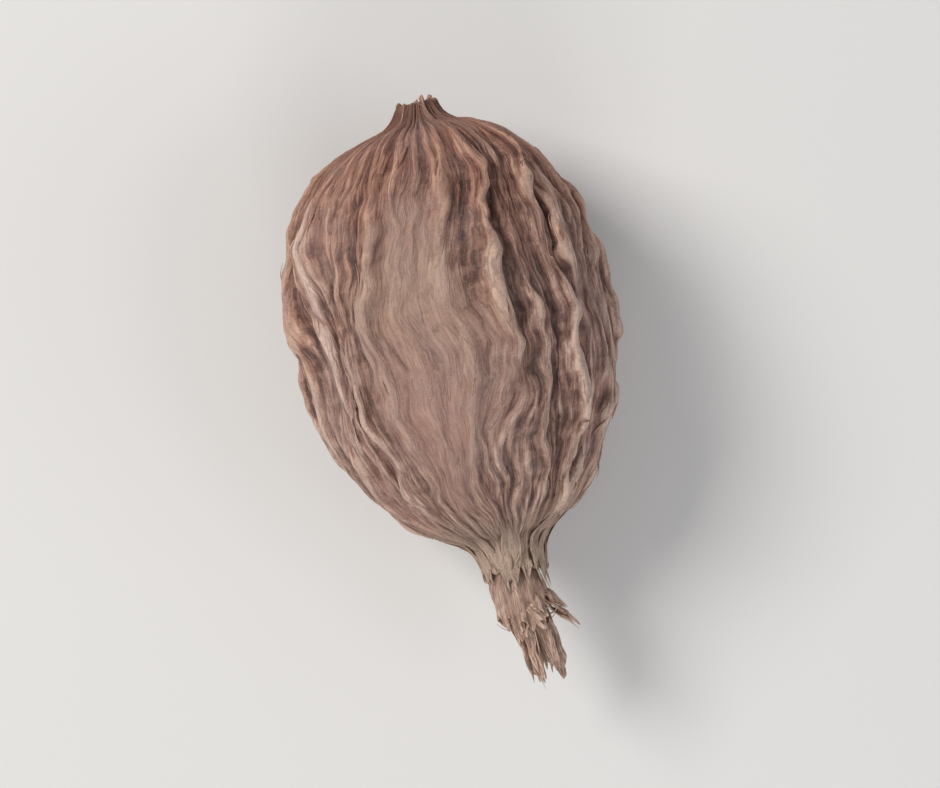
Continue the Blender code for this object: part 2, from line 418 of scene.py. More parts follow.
def makeRibbonTemplate(along, across):
    # a unit ribbon: x from 0 to 1 along, y from -0.5 to 0.5 across
    bpy.ops.mesh.primitive_grid_add(x_subdivisions=along, y_subdivisions=across, size=1.0)
    ribbon = bpy.context.view_layer.objects.active
    bpy.ops.object.mode_set(mode="EDIT")
    bpy.ops.mesh.select_all(action="SELECT")
    bpy.ops.transform.translate(value=(0.5, 0.0, 0.0))
    bpy.ops.object.mode_set(mode="OBJECT")
    return ribbon


def onPath(path, share):
    # the place and direction at a share of a path, with its index and the share of that step
    at = min(max(share, 0.0), 0.9999) * (len(path) - 1)
    index = int(at)
    middle = path[index].lerp(path[index + 1], at - index)
    return middle, (path[index + 1] - path[index]).normalized(), index, at - index


def layRibbon(template, path, ups, width, seed, taper=0.7, ragged=0.3, ripple=0.1, slimStart=0.0):
    # one copy of the ribbon along a path, with a torn end, waved edges and folds
    r = ribbonShape
    tearSeed, edgeSeed, flutterSeed, patternSeed = (step * seed for step in r["seedSteps"])
    ribbon = copyPiece(template, "ribbon")
    placed = []
    for vertex in template.data.vertices:
        share, side = vertex.co.x, vertex.co.y
        torn = ragged * (0.5 + noise.noise(Vector((side * r["tearScale"], tearSeed, 0.0))))
        middle, along, index, step = onPath(path, share * (1.0 - torn * share * share))
        across = along.cross(ups[index].lerp(ups[index + 1], step)).normalized()
        up = across.cross(along).normalized()
        edgeAlong, edgeAcross = r["edgeWaveScale"]
        edge = noise.noise(Vector((share * edgeAlong, edgeSeed, side * edgeAcross)))
        narrow = 1.0 - taper * share ** r["taperPower"] + r["edgeWave"] * edge
        narrow *= 1.0 - slimStart * (1.0 - share) ** r["slimPower"]
        fold = math.sin(side * r["folds"] + seed) * (r["foldStart"] + share)
        flutterAlong, flutterAcross = r["flutterScale"]
        flutter = noise.noise(Vector((share * flutterAlong, side * flutterAcross, flutterSeed)))
        lift = ripple * (fold + r["edgeLift"] * side * side * share + r["flutter"] * flutter)
        placed.append(middle + across * (side * width * narrow) + up * (lift * width))
    setPoints(ribbon, [list(p) for p in placed])
    length = sum((b - a).length for a, b in zip(path, path[1:]))
    values = [[v.co.x * length / mm, v.co.y * width / mm, patternSeed] for v in template.data.vertices]
    setVector(ribbon, "skinPlace", values)
    rootCrest, crestGain = r["crest"]
    setValue(ribbon, "crest", [rootCrest + crestGain * v.co.x for v in template.data.vertices])
    return ribbon


def thicken(piece, thickness):
    applyModifier(piece, "SOLIDIFY", thickness=thickness, offset=0.0)
    applyModifier(piece, "SUBSURF", levels=1, render_levels=1)
    smoothShade(piece)


tuftShape = {
    "seed": 8,
    "seedStep": 10,  # from one strip's first layer to the next one's
    "length": 6.0 * mm,
    "headLength": 1.2 * mm,
    "headRadius": 1.2 * mm,
    "gap": 0.3 * mm,
    "rootShare": 0.3,
    "sunk": 0.8 * mm,
    "longStrips": 7,
    "shortStrips": 8,
    "turn": math.radians(137.5),
    "turnVaries": 0.25,
    "longSplay": (1.0, 8.0),
    "shortSplay": (9.0, 26.0),
    "longReach": (0.8, 1.0),
    "shortReach": (0.42, 0.7),
    "longCurl": (-0.12, 0.0),
    "shortCurl": (-0.22, 0.16),
    "twist": 0.9,
    "width": 1.5 * mm,
    "widthVaries": (0.75, 1.1),
    "taper": 0.68,
    "thickness": 0.07 * mm,
    "lean": Vector((0.0, 0.16, -0.06)),
    "stations": 12,
    "facesAlong": 18,
    "facesAcross": 5,
    "layers": 3,
    "layerGap": 0.2 * mm,
    "layerShorter": 0.13,
    "layerNarrower": 0.1,
    "layerCurl": 0.5,
    "layerTwist": 0.3,
}


def stripPath(start, heading, outward, length, curl, twist, lift):
    # the middle line of a strip that curls outwards and twists
    path, ups = [], []
    for station in range(tuftShape["stations"]):
        share = station / (tuftShape["stations"] - 1)
        along = (heading + outward * (2.0 * curl * share)).normalized()
        across = Matrix.Rotation(twist * share, 3, along) @ along.cross(outward).normalized()
        up = across.cross(along).normalized()
        bend = outward * (curl * length * share * share)
        path.append(start + heading * (length * share) + bend + up * (lift * (1.0 - share)))
        ups.append(up)
    return path, ups


def tuftStrips():
    # the same strips as the frame's, each as several papery layers
    t = tuftShape
    root = tuftRoot() + Vector((t["gap"] + t["rootShare"] * t["headLength"], 0.0, 0.0))
    rng = random.Random(t["seed"])
    template = makeRibbonTemplate(t["facesAlong"], t["facesAcross"])
    strips = []
    for number in range(t["longStrips"] + t["shortStrips"]):
        kind = "long" if number < t["longStrips"] else "short"
        angle = number * t["turn"] + rng.uniform(-t["turnVaries"], t["turnVaries"])
        splay = math.radians(rng.uniform(*t[kind + "Splay"]))
        reach = t["length"] * rng.uniform(*t[kind + "Reach"])
        outward = Vector((0.0, math.cos(angle), math.sin(angle)))
        heading = Vector((math.cos(splay), 0.0, 0.0)) + outward * math.sin(splay)
        heading = (heading + t["lean"]).normalized()
        outward = (outward - heading * outward.dot(heading)).normalized()
        start = root + outward * (0.5 * t["headRadius"])
        width = t["width"] * rng.uniform(*t["widthVaries"])
        curl = rng.uniform(*t[kind + "Curl"])
        twist = rng.uniform(-t["twist"], t["twist"])
        for layer in range(t["layers"]):
            path, ups = stripPath(
                start - heading * t["sunk"], heading, outward,
                reach * (1.0 - t["layerShorter"] * layer) + t["sunk"],
                curl * (1.0 + t["layerCurl"] * layer), twist + t["layerTwist"] * layer,
                (layer - 1) * t["layerGap"],
            )
            layerWidth = width * (1.0 - t["layerNarrower"] * layer)
            seed = number * t["seedStep"] + layer
            strips.append(layRibbon(template, path, ups, layerWidth, seed, t["taper"]))
    removePiece(template)
    return strips


def makeCalyxStrips():
    strips = joinPieces(tuftStrips(), "calyxStrips")
    thicken(strips, tuftShape["thickness"])
    return strips


calyxStrips = makeCalyxStrips()
print("calyx strips", len(calyxStrips.data.polygons), "faces")


# Torn tube that the strips come out of

tubeShape = {
    "sides": 72,
    "rings": 22,
    "length": 2.7 * mm,
    "sunk": 0.8 * mm,
    "radius": 1.22 * mm,
    "waist": 0.78,
    "belly": 0.26,
    "bellySpan": 1.2,
    "bellyTurn": 0.8 * math.pi,
    "folds": 11,
    "foldDepth": 0.10 * mm,
    "foldSway": 1.5,
    "foldGrows": (0.4, 0.9),
    "tear": 0.55,
    "tearScale": 2.5,
    "wander": 0.12 * mm,
    "wanderScale": (3.0, 2.0),
    "seed": 3,
    "crest": (0.1, 0.6),
    "weld": 0.01 * mm,
    "thickness": 0.09 * mm,
}


def tubePoint(share, angle, root):
    b = tubeShape
    y, z = math.cos(angle), math.sin(angle)
    torn = 1.0 + b["tear"] * noise.noise(Vector((y * b["tearScale"], z * b["tearScale"], b["seed"])))
    foldStart, foldGain = b["foldGrows"]
    fold = b["foldDepth"] * math.cos(b["folds"] * angle + b["foldSway"] * z) * (foldStart + foldGain * share)
    flare = b["waist"] + b["belly"] * math.sin(min(1.0, share * b["bellySpan"]) * b["bellyTurn"])
    along, around = b["wanderScale"]
    wander = b["wander"] * noise.noise(Vector((share * along, y * around, z * around)))
    radius = b["radius"] * flare + fold + wander
    return Vector((b["length"] * share * torn - b["sunk"], radius * y, radius * z)) + root


def makeCalyxTube():
    b = tubeShape
    root = tuftRoot() + Vector((tuftShape["gap"], 0.0, 0.0))
    bpy.ops.mesh.primitive_grid_add(x_subdivisions=b["rings"], y_subdivisions=b["sides"], size=1.0)
    tube = bpy.context.view_layer.objects.active
    tube.name = "calyxTube"
    shares = [(v.co.x + 0.5, (v.co.y + 0.5) * 2.0 * math.pi) for v in tube.data.vertices]
    setVector(tube, "skinPlace", [[s * b["length"] / mm, a * b["radius"] / mm, 0.5] for s, a in shares])
    rootCrest, crestGain = b["crest"]
    setValue(tube, "crest", [rootCrest + crestGain * s for s, a in shares])
    setPoints(tube, [list(tubePoint(s, a, root)) for s, a in shares])
    selectOnly(tube)
    bpy.ops.object.mode_set(mode="EDIT")
    bpy.ops.mesh.select_all(action="SELECT")
    bpy.ops.mesh.remove_doubles(threshold=b["weld"])
    bpy.ops.mesh.normals_make_consistent(inside=False)
    bpy.ops.object.mode_set(mode="OBJECT")
    thicken(tube, b["thickness"])
    return tube


calyxTube = makeCalyxTube()
print("calyx tube", len(calyxTube.data.polygons), "faces")


# Torn scales where the husk's neck runs out over the tube, and shreds that peel off its ridges

shredShape = {
    "seed": 33,
    "scales": 17,
    "scaleLength": (2.2 * mm, 4.2 * mm),
    "scaleWidth": (0.7 * mm, 1.3 * mm),
    "scaleOnNeck": (0.45, 0.75),
    "scaleFlare": (-0.05, 0.35),
    "scaleFlareLess": 0.12,
    "scaleTurnVaries": 0.35,
    "scaleSunk": 0.12 * mm,
    "scaleRise": 0.2 * mm,
    "scaleRiseRate": 4.0,
    "scaleForm": (0.8, 0.5, 0.07, 0.9),  # taper, ragged end, ripple and slim start
    "scaleFaces": (16, 5),
    "neckInset": 0.6 * mm,
    "probeReach": 8.0 * mm,
    "shreds": 62,
    "firstShred": 100,  # its own seed, past those of the scales
    "shredLength": (1.0 * mm, 3.0 * mm),
    "shredWidth": (0.12 * mm, 0.30 * mm),
    "shredLift": (0.02 * mm, 0.20 * mm),
    "shredSunk": 0.06 * mm,
    "shredForm": (0.75, 0.3, 0.12, 0.7),
    "shredFaces": (12, 3),
    "shredAtEnds": 0.7,
    "pathStations": 12,
    "pathTurn": 0.2,
    "pathWander": 0.1,
    "pathFollow": 0.35,
    "crestOver": 0.74,
    "lowest": 1.5 * mm,
    "thickness": 0.05 * mm,
    "finish": {"fineCrest": 0.65, "smoothPanel": 0.0, "highlitRidge": 0.0},
}


def scalePath(angle, startX, length, flare):
    # rises out of the neck's skin and runs on past its rim
    d = shredShape
    root = tuftRoot()
    rim = root.x - d["neckInset"]
    outward = Vector((0.0, math.cos(angle), math.sin(angle)))
    path, ups = [], []
    for station in range(d["pathStations"]):
        share = station / (d["pathStations"] - 1)
        x = startX + length * share
        probe = Vector((min(x, rim), root.y, root.z))
        found, place, normal, face = huskSkin.ray_cast(probe + outward * d["probeReach"], -outward)
        rise = d["scaleRise"] * min(1.0, share * d["scaleRiseRate"])
        reach = (place - probe).length - d["scaleSunk"] + rise
        past = max(0.0, x - rim)
        path.append(Vector((x, root.y, root.z)) + outward * (reach + (flare - d["scaleFlareLess"]) * past))
        ups.append(outward)
    return path, ups


def surfacePath(start, normal, length, lift, sink, rng):
    # creeps along the skin and stands off it towards its end
    d = shredShape
    stations, turn, wander = d["pathStations"], d["pathTurn"], d["pathWander"]
    direction = Vector((rng.choice((-1.0, 1.0)), rng.uniform(-turn, turn), rng.uniform(-turn, turn)))
    place, path, ups = start.copy(), [], []
    for station in range(stations):
        share = station / (stations - 1)
        path.append(place + normal * (lift * share ** 2.0 - sink * (1.0 - share) ** 2.0))
        ups.append(normal.copy())
        direction = (direction - normal * direction.dot(normal)).normalized()
        onward = place + direction * (length / stations)
        found, nearest, newNormal, face = huskSkin.closest_point_on_mesh(onward)
        place = nearest.copy()
        normal = normal.lerp(newNormal, d["pathFollow"]).normalized()
        direction += Vector((0.0, rng.uniform(-wander, wander), rng.uniform(-wander, wander)))
    return path, ups


def ridgeStarts():
    # points on ridge tops, clear of the underside
    high = getPoints(huskSkin)[:, 2] > shredShape["lowest"]
    return np.nonzero((getValue(huskSkin, "crest") > shredShape["crestOver"]) & high)[0]


def pickStart(starts, rng, endShare):
    # a ridge point, more often near the ends of the pod
    while True:
        vertex = huskSkin.data.vertices[int(starts[rng.randrange(len(starts))])]
        nearEnd = min(1.0, abs(vertex.co.x) / (0.5 * huskShape["bodyLength"]))
        if rng.random() < 1.0 - endShare + endShare * nearEnd ** 2:
            return vertex.co.copy(), vertex.normal.copy()


def makeNeckScales(rng):
    d = shredShape
    template = makeRibbonTemplate(*d["scaleFaces"])
    scales = []
    for number in range(d["scales"]):
        varied = number + rng.uniform(-d["scaleTurnVaries"], d["scaleTurnVaries"])
        angle = 2.0 * math.pi * varied / d["scales"]
        length = rng.uniform(*d["scaleLength"])
        startX = tuftRoot().x - d["neckInset"] - length * rng.uniform(*d["scaleOnNeck"])
        path, ups = scalePath(angle, startX, length, rng.uniform(*d["scaleFlare"]))
        width = rng.uniform(*d["scaleWidth"])
        scales.append(layRibbon(template, path, ups, width, number, *d["scaleForm"]))
    removePiece(template)
    return scales


def makeRidgeShreds(rng):
    d = shredShape
    template = makeRibbonTemplate(*d["shredFaces"])
    starts = ridgeStarts()
    shreds = []
    for number in range(d["shreds"]):
        start, normal = pickStart(starts, rng, d["shredAtEnds"])
        length, lift = rng.uniform(*d["shredLength"]), rng.uniform(*d["shredLift"])
        path, ups = surfacePath(start, normal, length, lift, d["shredSunk"], rng)
        width = rng.uniform(*d["shredWidth"])
        shreds.append(layRibbon(template, path, ups, width, d["firstShred"] + number, *d["shredForm"]))
    removePiece(template)
    return shreds


def makeHuskShreds():
    d = shredShape
    rng = random.Random(d["seed"])
    joined = joinPieces(makeNeckScales(rng) + makeRidgeShreds(rng), "huskShreds")
    thicken(joined, d["thickness"])
    low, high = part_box("husk")
    setValue(joined, "alongPod", np.clip((getPoints(joined)[:, 0] - low.x) / (high.x - low.x), 0.0, 1.0))
    for name, value in d["finish"].items():
        setValue(joined, name, np.full(len(joined.data.vertices), value))
    return joined


huskShreds = makeHuskShreds()
print("husk shreds", len(huskShreds.data.polygons), "faces")


# Loose fibres on the husk and at the tuft

fibreShape = {
    "seed": 21,
    "onHusk": 46,
    "onTuft": 14,
    "radius": 0.028 * mm,
    "sides": 5,
    "cuts": 14,
    "endSize": 0.35,
    "sizeArc": (0.15, 0.8),
    "sideGuide": Vector((0.3, 0.2, 1.0)),
    "huskLength": (1.0 * mm, 3.0 * mm),
    "huskLift": (0.02 * mm, 0.18 * mm),
    "huskSize": (0.6, 1.3),
    "huskAtEnds": 0.85,
    "tuftSplay": (2, 16),
    "tuftOut": (0.2 * mm, 1.0 * mm),
    "tuftAlong": (0.2 * mm, 1.6 * mm),
    "tuftLength": (1.2 * mm, 2.6 * mm),
    "tuftSize": (0.7, 1.4),
    "tuftTurn": (6.0, 17.0),
    "tuftSteps": 12,
    "placeScale": (4.0, 0.1, 0.37),
    "crest": (0.35, 0.5),
}


def makeFibreTemplate():
    # a unit tube along x
    f = fibreShape
    bpy.ops.mesh.primitive_cylinder_add(
        vertices=f["sides"], radius=1.0, depth=1.0, rotation=(0.0, math.pi / 2, 0.0), location=(0.5, 0.0, 0.0)
    )
    fibre = bpy.context.view_layer.objects.active
    selectOnly(fibre)
    bpy.ops.object.transform_apply(location=True, rotation=True, scale=True)
    bpy.ops.object.mode_set(mode="EDIT")
    bpy.ops.mesh.select_mode(type="EDGE")
    bpy.ops.mesh.select_all(action="DESELECT")
    bpy.ops.object.mode_set(mode="OBJECT")
    for edge in fibre.data.edges:
        first, second = (fibre.data.vertices[i].co for i in edge.vertices)
        edge.select = abs(first.x - second.x) > 0.5
    bpy.ops.object.mode_set(mode="EDIT")
    bpy.ops.mesh.subdivide_edgering(number_cuts=f["cuts"], interpolation="LINEAR", smoothness=0.0)
    bpy.ops.mesh.select_mode(type="VERT")
    bpy.ops.object.mode_set(mode="OBJECT")
    return fibre


def layFibre(template, path, radius, seed):
    # one copy of the tube along a path, tapered to both ends
    f = fibreShape
    fibre = copyPiece(template, "fibre")
    arcStart, arcGain = f["sizeArc"]
    placed = []
    for vertex in template.data.vertices:
        middle, along, index, step = onPath(path, vertex.co.x)
        side = along.cross(f["sideGuide"]).normalized()
        up = side.cross(along)
        arc = math.sin(math.pi * min(1.0, arcStart + arcGain * vertex.co.x))
        size = radius * (f["endSize"] + (1.0 - f["endSize"]) * arc)
        placed.append(middle + side * (vertex.co.y * size) + up * (vertex.co.z * size))
    setPoints(fibre, [list(p) for p in placed])
    lengthScale, sideScale, seedScale = f["placeScale"]
    values = [[v.co.x * lengthScale, v.co.y * sideScale, seed * seedScale] for v in template.data.vertices]
    setVector(fibre, "skinPlace", values)
    rootCrest, crestGain = f["crest"]
    setValue(fibre, "crest", [rootCrest + crestGain * v.co.x for v in template.data.vertices])
    return fibre


def makeHuskFibres():
    f = fibreShape
    rng = random.Random(f["seed"])
    template = makeFibreTemplate()
    starts = ridgeStarts()
    fibres = []
    for number in range(f["onHusk"]):
        start, normal = pickStart(starts, rng, f["huskAtEnds"])
        length, lift = rng.uniform(*f["huskLength"]), rng.uniform(*f["huskLift"])
        path, ups = surfacePath(start, normal, length, lift, 0.0, rng)
        fibres.append(layFibre(template, path, f["radius"] * rng.uniform(*f["huskSize"]), number))
    removePiece(template)
    joined = joinPieces(fibres, "huskFibres")
    smoothShade(joined)
    return joined


def makeTuftFibres():
    f, t = fibreShape, tuftShape
    rng = random.Random(f["seed"] + 1)
    root = tuftRoot() + Vector((t["gap"], 0.0, 0.0))
    template = makeFibreTemplate()
    fibres = []
    for number in range(f["onTuft"]):
        angle = rng.uniform(0.0, 2.0 * math.pi)
        outward = Vector((0.0, math.cos(angle), math.sin(angle)))
        splay = math.radians(rng.uniform(*f["tuftSplay"]))
        heading = (Vector((math.cos(splay), 0.0, 0.0)) + outward * math.sin(splay) + t["lean"]).normalized()
        start = root + outward * rng.uniform(*f["tuftOut"]) + Vector((rng.uniform(*f["tuftAlong"]), 0.0, 0.0))
        step = rng.uniform(*f["tuftLength"]) / f["tuftSteps"]
        anyWay = Vector((rng.uniform(-1, 1), rng.uniform(-1, 1), rng.uniform(-1, 1)))
        turnAxis = heading.cross(anyWay).normalized()
        turn = Matrix.Rotation(math.radians(rng.uniform(*f["tuftTurn"])), 3, turnAxis)
        path = [start]
        while len(path) <= f["tuftSteps"]:
            path.append(path[-1] + heading * step)
            heading = turn @ heading
        fibres.append(layFibre(template, path, f["radius"] * rng.uniform(*f["tuftSize"]), number))
    removePiece(template)
    joined = joinPieces(fibres, "calyxFibres")
    smoothShade(joined)
    return joined


huskFibres = makeHuskFibres()
calyxFibres = makeTuftFibres()
print("fibres", len(huskFibres.data.polygons) + len(calyxFibres.data.polygons), "faces")


# Node helpers

def newGroup(name, inputs, outputs):
    group = bpy.data.node_groups.new(name, "ShaderNodeTree")
    for label, kind, value in inputs:
        socket = group.interface.new_socket(name=label, in_out="INPUT", socket_type=kind)
        if value is not None:
            socket.default_value = value
    for label in outputs:
        group.interface.new_socket(name=label, in_out="OUTPUT", socket_type="NodeSocketFloat")
    return group, group.nodes.new("NodeGroupInput").outputs, group.nodes.new("NodeGroupOutput").inputs


def feed(tree, socket, value):
    if isinstance(value, (int, float, tuple)):
        socket.default_value = value
    elif value is not None:
        tree.links.new(value, socket)


def mathNode(tree, operation, first, second=None, clamp=False):
    node = tree.nodes.new("ShaderNodeMath")
    node.operation = operation
    node.use_clamp = clamp
    feed(tree, node.inputs[0], first)
    feed(tree, node.inputs[1], second)
    return node.outputs[0]


def timesNode(tree, first, second, clamp=False):
    return mathNode(tree, "MULTIPLY", first, second, clamp)


def sumNode(tree, *terms):
    # adds up value times weight
    total = None
    for value, weight in terms:
        part = timesNode(tree, value, weight)
        total = part if total is None else mathNode(tree, "ADD", total, part)
    return total


def noiseNode(tree, vector, scale, detail, roughness=0.5):
    node = tree.nodes.new("ShaderNodeTexNoise")
    node.inputs["Detail"].default_value = detail
    node.inputs["Roughness"].default_value = roughness
    feed(tree, node.inputs["Scale"], scale)
    feed(tree, node.inputs["Vector"], vector)
    return node.outputs["Fac"]


def stretchNode(tree, vector, along):
    # draws a pattern out along the first axis
    node = tree.nodes.new("ShaderNodeMapping")
    node.inputs["Scale"].default_value = (along, 1.0, 1.0)
    feed(tree, node.inputs["Vector"], vector)
    return node.outputs["Vector"]


def rangeNode(tree, value, low, high, toLow=0.0, toHigh=1.0):
    node = tree.nodes.new("ShaderNodeMapRange")
    node.interpolation_type = "SMOOTHSTEP"
    for name, number in (("From Min", low), ("From Max", high), ("To Min", toLow), ("To Max", toHigh)):
        node.inputs[name].default_value = number
    feed(tree, node.inputs["Value"], value)
    return node.outputs["Result"]


def mixNode(tree, share, first, second, blend="MIX"):
    node = tree.nodes.new("ShaderNodeMix")
    node.data_type = "RGBA"
    node.blend_type = blend
    feed(tree, node.inputs[0], share)
    feed(tree, node.inputs[6], first)
    feed(tree, node.inputs[7], second)
    return node.outputs[2]


def tintNode(tree, share, colour, tint, blend="MIX"):
    return mixNode(tree, share, colour, (*tint, 1.0), blend)


def rampNode(tree, value, stops):
    node = tree.nodes.new("ShaderNodeValToRGB")
    ramp = node.color_ramp
    ramp.interpolation = "EASE"
    while len(ramp.elements) < len(stops):
        ramp.elements.new(0.5)
    for element, (place, colour) in zip(ramp.elements, stops):
        element.position = place
        element.color = (*colour, 1.0)
    tree.links.new(value, node.inputs["Fac"])
    return node.outputs["Color"]


def readValue(tree, name, output="Fac"):
    node = tree.nodes.new("ShaderNodeAttribute")
    node.attribute_type = "GEOMETRY"
    node.attribute_name = name
    return node.outputs[output]


def placeGroup(tree, group, **values):
    node = tree.nodes.new("ShaderNodeGroup")
    node.node_tree = group
    for name, value in values.items():
        feed(tree, node.inputs[name], value)
    return node.outputs


# Shader groups that both materials use

streakPattern = {
    "stretch": 0.10,
    "seamStretch": 0.16,
    "finer": 3.1,
    "gain": 3.0,
    "seam": (0.004, 0.046, 1.0, 0.0),
    "seamBreaks": (0.40, 0.58, 0.05, 1.0),
    "seamHeight": -0.35,
}

wearPattern = {
    "top": (0.72, 1.0),
    "patch": (0.42, 0.62),
    "broken": (0.25, 0.75, 0.25, 1.0),
}

dustPattern = {
    "cloud": (0.44, 0.66),
    "speck": (0.58, 0.68),
    "speckShare": 0.55,
    "hollow": (0.25, 0.80, 1.0, 0.20),
}


def makeFibreStreaks():
    # long thin streaks along the first axis of the vector: a mask, thin lines between strands, and a height
    p = streakPattern
    group, inside, out = newGroup(
        "fibreStreaks",
        [("Vector", "NodeSocketVector", None), ("Fineness", "NodeSocketFloat", 3.0),
         ("Contrast", "NodeSocketFloat", 1.0)],
        ["Mask", "Lines", "Height"],
    )
    stretched = stretchNode(group, inside["Vector"], p["stretch"])
    finer = timesNode(group, inside["Fineness"], p["finer"])
    broad = noiseNode(group, stretched, inside["Fineness"], detail=4.0, roughness=0.6)
    fine = noiseNode(group, stretched, finer, detail=3.0, roughness=0.65)
    centred = mathNode(group, "SUBTRACT", sumNode(group, (broad, 0.5), (fine, 0.5)), 0.5)
    strong = timesNode(group, timesNode(group, centred, inside["Contrast"]), p["gain"])
    group.links.new(mathNode(group, "ADD", strong, 0.5, clamp=True), out["Mask"])
    seamPlace = stretchNode(group, inside["Vector"], p["seamStretch"])
    seam = noiseNode(group, seamPlace, inside["Fineness"], detail=2.0, roughness=0.5)
    seam = mathNode(group, "ABSOLUTE", mathNode(group, "SUBTRACT", seam, 0.5))
    lines = timesNode(group, rangeNode(group, seam, *p["seam"]), rangeNode(group, fine, *p["seamBreaks"]))
    group.links.new(lines, out["Lines"])
    group.links.new(sumNode(group, (fine, 1.0), (lines, p["seamHeight"])), out["Height"])
    return group


def makeEdgeWear():
    # rubbed pale tops, broken up by streaks and patches
    p = wearPattern
    group, inside, out = newGroup(
        "edgeWear",
        [("Vector", "NodeSocketVector", None), ("Crest", "NodeSocketFloat", 0.5),
         ("Streak", "NodeSocketFloat", 0.5), ("Amount", "NodeSocketFloat", 0.5)],
        ["Mask"],
    )
    top = rangeNode(group, inside["Crest"], *p["top"])
    cloud = noiseNode(group, inside["Vector"], scale=0.55, detail=5.0, roughness=0.7)
    rubbed = timesNode(group, top, rangeNode(group, cloud, *p["patch"]))
    rubbed = timesNode(group, rubbed, rangeNode(group, inside["Streak"], *p["broken"]))
    group.links.new(timesNode(group, rubbed, inside["Amount"], clamp=True), out["Mask"])
    return group


def makeDustFilm():
    # cloudy film with small specks, thicker in the hollows
    p = dustPattern
    group, inside, out = newGroup(
        "dustFilm",
        [("Vector", "NodeSocketVector", None), ("Crest", "NodeSocketFloat", 0.5),
         ("Amount", "NodeSocketFloat", 0.5)],
        ["Mask"],
    )
    clouds = noiseNode(group, inside["Vector"], scale=0.35, detail=6.0, roughness=0.7)
    specks = noiseNode(group, inside["Vector"], scale=6.5, detail=2.0, roughness=0.5)
    cloud = rangeNode(group, clouds, *p["cloud"])
    speck = rangeNode(group, specks, *p["speck"])
    hollow = rangeNode(group, inside["Crest"], *p["hollow"])
    film = timesNode(group, sumNode(group, (cloud, 1.0), (speck, p["speckShare"])), hollow)
    group.links.new(timesNode(group, film, inside["Amount"], clamp=True), out["Mask"])
    return group


fibreStreaks = makeFibreStreaks()
edgeWear = makeEdgeWear()
dustFilm = makeDustFilm()
print("shader groups made")


# Materials

huskFinish = {
    # ramp from groove to worn: the crest values make it dark in the grooves, which is painted shade, and
    # paler on the ridge tops
    "groove": (0.046, 0.023, 0.018),
    "deep": (0.126, 0.066, 0.050),
    "middle": (0.262, 0.142, 0.108),
    "tan": (0.400, 0.246, 0.190),
    "worn": (0.545, 0.392, 0.312),
    # painted highlight: pale colour along the top of the long ridge
    "ridge": (0.665, 0.482, 0.405),
    "orange": (0.350, 0.175, 0.098),
    "rosy": (0.380, 0.196, 0.162),
    "panel": (0.410, 0.268, 0.208),
    "neck": (0.480, 0.352, 0.265),
    "dust": (0.375, 0.290, 0.258),
    "stops": {"groove": 0.36, "deep": 0.51, "middle": 0.66, "tan": 0.81, "worn": 0.98},
    "shadeWeights": {
        "crest": 0.40, "fineCrest": 0.34, "streak": 0.20, "lines": -0.07,
        "patch": 0.17, "mottle": 0.17, "grain": 0.10, "panel": 0.05,
    },
    "streakFineness": 2.8,
    "streakContrast": 1.3,
    "mottleStretch": 0.30,
    "orangePatch": 0.8,
    "orangeEnd": (0.45, 1.0, 0.55, 0.0),
    "blushEnd": (0.42, 0.62, 0.0, 0.45),
    "rosyPatches": (0.48, 0.64, 0.0, 0.30),
    "panelShade": (0.40, 0.75, 0.15, 0.60),
    "neckEnd": (0.84, 0.97),
    "neckShade": (0.30, 0.85, 0.2, 0.9),
    "wearAmount": 0.70,
    "dustAmount": 0.34,
    "ridgeCrest": (0.30, 0.66),
    "ridgeShade": (0.42, 0.68, 0.3, 1.0),
    "ridgeEdge": (0.25, 0.9, 0.0, 0.85),
    "threadWeights": (0.65, 0.35),
    "thread": (0.30, 0.66, 0.74, 1.28),
    "threadOnPanel": 0.6,
    "roughness": (0.3, 0.9, 0.86, 0.60),
    "bump": 0.8,
    "bumpDepth": 0.10 * mm,
    "bumpGrain": 0.6,
}

calyxFinish = {
    "dark": (0.150, 0.080, 0.054),
    "middle": (0.392, 0.246, 0.182),
    "light": (0.650, 0.472, 0.375),
    "dust": (0.400, 0.312, 0.276),
    "stops": {"dark": 0.18, "middle": 0.50, "light": 0.88},
    "shadeWeights": {"crest": 0.36, "streak": 0.42, "lines": -0.12, "mottle": 0.34},
    "streakFineness": 4.5,
    "streakContrast": 1.6,
    "wearAmount": 0.5,
    "dustAmount": 0.28,
    "thread": (0.25, 0.68, 0.70, 1.20),
    "roughness": (0.2, 0.9, 0.92, 0.70),
    "bump": 0.6,
    "bumpDepth": 0.04 * mm,
}


def newMaterial(name):
    material = bpy.data.materials.new(name)
    material.use_nodes = True
    return material, material.node_tree, material.node_tree.nodes["Principled BSDF"]


def weighShade(tree, finish, parts):
    return sumNode(tree, *((parts[name], weight) for name, weight in finish["shadeWeights"].items()))


def shadeColour(tree, finish, shade):
    return rampNode(tree, shade, [(place, finish[name]) for name, place in finish["stops"].items()])


def wearAndDust(tree, finish, colour, worn, place, crest, streak):
    wear = placeGroup(
        tree, edgeWear, Vector=place, Crest=crest, Streak=streak["Mask"], Amount=finish["wearAmount"]
    )
    colour = tintNode(tree, wear["Mask"], colour, worn)
    dust = placeGroup(tree, dustFilm, Vector=place, Crest=crest, Amount=finish["dustAmount"])
    return tintNode(tree, dust["Mask"], colour, finish["dust"])


def addBump(tree, shader, height, finish):
    bump = tree.nodes.new("ShaderNodeBump")
    bump.inputs["Strength"].default_value = finish["bump"]
    bump.inputs["Distance"].default_value = finish["bumpDepth"]
    tree.links.new(height, bump.inputs["Height"])
    tree.links.new(bump.outputs["Normal"], shader.inputs["Normal"])


